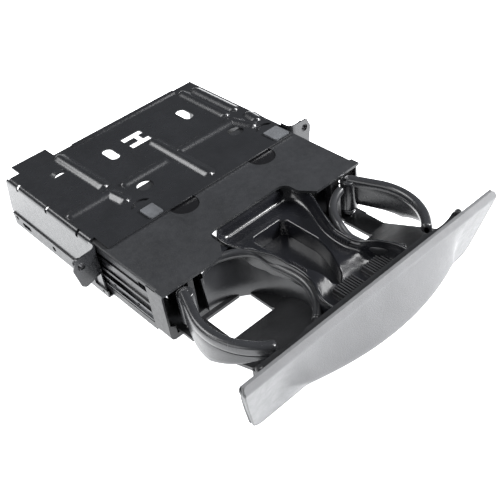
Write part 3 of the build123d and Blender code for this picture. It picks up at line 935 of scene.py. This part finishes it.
    def grips(self) -> list[bpy.types.Object]:
        """Small finger ribs on both sides of the waist.

        Returns:
            The ribs.
        """
        ribs: list[bpy.types.Object] = []
        for side, start in ((-1, -104.5), (1, -106.5)):
            for k in range(7):
                y = start - 2.4 * k
                x = self.middle + side * (self._smooth_half(y) - 1.6)
                Bench.clear()
                bpy.ops.mesh.primitive_cube_add(size=MM, location=at(x, y, -10.6), scale=(1.8, 1.1, 4.4))
                rib = bpy.context.object
                rib.name = f"grip_{k}"
                bpy.ops.object.transform_apply(location=True, rotation=True, scale=True)
                Bench.soften(rib, 0.35, 2, 40)
                ribs.append(rib)
        return ribs

    def flange(self) -> bpy.types.Object:
        """Thin flange that closes the gap under the cover's corner.

        Returns:
            The flange.
        """
        Bench.clear()
        bpy.ops.mesh.primitive_cube_add(size=MM, location=at(*self.flange_place), scale=self.flange_size)
        flange = bpy.context.object
        bpy.ops.object.transform_apply(location=True, rotation=True, scale=True)
        Bench.soften(flange, 0.4, 2, 40)
        return flange

    def build(self) -> None:
        """Loft the bin, add its flange and finger ribs, and dress it."""
        shell = Bench.loft("storage_bin", self.rings())
        piece = Bench.join([shell, self.flange()] + self.grips())
        piece.name = "storage_bin"
        Bench.smooth(piece, 42)
        Bench.deliver(piece, Body.DRAWER, FINISHES["bin"], ["center_bin"])


# ------------------------------------------------------------------ mats
@dataclass
class RibbedMat:
    """Rubber mat with upright ribs at the front of the bin. Sizes in drawing millimetres."""

    side: Side
    start: float
    end: float
    rear: float = -140.0
    front: float = -159.0
    base: float = -22.0
    sheet: float = -20.6
    crest: float = -16.6
    pitch: float = 2.3

    def bar(self, name: str, corner: Point, size: Point, soft: float) -> bpy.types.Object:
        """Softened box.

        Args:
            name: Object name.
            corner: Low corner in drawing millimetres.
            size: Size in millimetres.
            soft: Bevel width.

        Returns:
            The mesh object.
        """
        Bench.clear()
        middle = at(*[c + s / 2 for c, s in zip(corner, size)])
        bpy.ops.mesh.primitive_cube_add(size=MM, location=middle, scale=size)
        bar = bpy.context.object
        bar.name = name
        bpy.ops.object.transform_apply(location=True, rotation=True, scale=True)
        Bench.soften(bar, soft, 3, 40)
        return bar

    def build(self) -> None:
        """Lay the sheet, stand the ribs on it and dress the mat."""
        name = "ribbed_mat_" + self.side.name.lower()
        parts = [self.bar(name + "_sheet", (self.start, self.front, self.base),
                          (self.end - self.start, self.rear - self.front, self.sheet - self.base), 0.4)]
        for k in range(int((self.end - self.start) / self.pitch)):
            x = self.start + 0.6 + self.pitch * k
            parts.append(self.bar(f"{name}_rib_{k}", (x, self.front + 0.3, self.sheet - 0.3),
                                  (1.15, self.rear - self.front - 0.6, self.crest - self.sheet + 0.3), 0.45))
        mat = Bench.join(parts)
        mat.name = name + "_ribs"
        Bench.smooth(mat, 40)
        Bench.deliver(mat, Body.DRAWER, FINISHES[name], [name])


# ------------------------------------------------------------------ carried-over nodes
@dataclass
class Carried:
    """CAD nodes that keep their shape and get their finish here."""

    nodes: list[str] = field(default_factory=list)

    def dress(self) -> None:
        """Give every node its finish."""
        for node in self.nodes:
            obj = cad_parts[node]
            obj.data.materials.clear()
            obj.data.materials.append(FINISHES[node].make())
            LOG.info("node %s dressed", node)


# ------------------------------------------------------------------ studio
@dataclass
class Studio:
    """Pale floor, soft lights and the camera."""

    camera_place: Point = (-0.290001, -0.437215, 0.380133)
    aim: Point = (0.456220, 0.607930, -0.649834)
    roll: float = -8.6759
    lens: float = 58.809
    glow: float = 1.5

    def floor(self) -> None:
        """Wide pale floor under the object."""
        Bench.clear()
        low = CAD_BOX[0][2]
        bpy.ops.mesh.primitive_plane_add(size=60.0, location=(0.0, 0.0, low - 0.0002))
        floor = bpy.context.object
        floor.name = "studio_floor"
        bpy.ops.object.transform_apply(location=True, rotation=True, scale=True)
        paper = Finish("paper_white", "fascia_plastic", (0.93, 0.93, 0.93), 0.0, 0.8, 0.03, 0.01, 300.0,
                       0.00001, specular=0.2).make()
        shader = paper.node_tree.nodes["Principled BSDF"]
        shader.inputs["Emission Color"].default_value = (0.97, 0.985, 1.0, 1.0)
        shader.inputs["Emission Strength"].default_value = self.glow
        floor.data.materials.append(paper)

    def lamp(self, name: str, place: Point, size: Flat, watts: float, aim: Point = (0.0, -0.05, 0.0)) -> None:
        """Soft rectangular light.

        Args:
            name: Light name.
            place: Where it hangs.
            size: Width and height.
            watts: Power.
            aim: Point it faces.
        """
        data = bpy.data.lights.new(name, "AREA")
        data.shape = "RECTANGLE"
        data.size, data.size_y = size
        data.energy = watts
        lamp = bpy.data.objects.new(name, data)
        bpy.context.scene.collection.objects.link(lamp)
        lamp.location = place
        lamp.rotation_euler = (Vector(aim) - Vector(place)).to_track_quat("-Z", "Y").to_euler()

    def lights(self) -> None:
        """World light and four soft boxes."""
        world = bpy.data.worlds.new("studio_world")
        world.use_nodes = True
        world.node_tree.nodes["Background"].inputs["Color"].default_value = (0.92, 0.95, 1.0, 1.0)
        world.node_tree.nodes["Background"].inputs["Strength"].default_value = 0.10
        bpy.context.scene.world = world
        self.lamp("left_box", (-1.5, 0.1, 0.75), (1.4, 0.8), 9.0)
        self.lamp("front_box", (1.15, -0.95, 0.85), (0.7, 0.5), 56.0)
        self.lamp("back_left_box", (-0.7, 1.1, 1.35), (1.1, 0.7), 17.0)
        self.lamp("top_box", (0.5, -0.45, 1.35), (0.7, 0.5), 9.0)

    def camera(self) -> None:
        """Camera at the working viewpoint."""
        data = bpy.data.cameras.new("camera")
        data.lens = self.lens
        data.sensor_width = 36.0
        data.sensor_fit = "HORIZONTAL"
        camera = bpy.data.objects.new("camera", data)
        bpy.context.scene.collection.objects.link(camera)
        back = -Vector(self.aim).normalized()
        right = Vector((0.0, 0.0, 1.0)).cross(back).normalized()
        up = back.cross(right)
        turn = radians(self.roll)
        across = right * cos(turn) + up * sin(turn)
        rise = up * cos(turn) - right * sin(turn)
        axes = Matrix((across, rise, back)).transposed().to_4x4()
        camera.matrix_world = Matrix.Translation(self.camera_place) @ axes
        bpy.context.scene.camera = camera

    def build(self) -> None:
        """Set up the whole studio."""
        self.floor()
        self.lights()
        self.camera()
        bpy.context.scene.view_settings.view_transform = "Standard"


def main() -> None:
    """Build every sub-assembly in order."""
    logging.basicConfig(level=logging.INFO, format="%(message)s")
    carried = ["housing_shell", "bottom_plate", "felt_pads", "glide_strips", "ear_nuts", "latch_block",
               "carriage_cover", "carriage_frame", "rail_left", "rail_right", "drawer_tray",
               "cup_floor_left", "cup_floor_right", "latch_striker",
               "arm_pins", "arm_spring_left", "arm_spring_right"]
    Carried(carried).dress()
    PressedBeads().build()
    CoverDimples().build()
    FrontPanel().build()
    for side in Side:
        SwingArm(side).build()
    WellWall(Side.LEFT, (-62.0, -114.0), -58.0, 92.0, 24.0, 44.0).build()
    WellWall(Side.RIGHT, (80.0, -120.0), -52.0, 76.0, 2.0, 22.0, drop=4.0, flare=0.0,
             lean=0.5).build()
    StorageBin().build()
    RibbedMat(Side.LEFT, -8.0, 14.5).build()
    RibbedMat(Side.RIGHT, 22.0, 44.0).build()
    Studio().build()


if __name__ == "__main__":
    main()
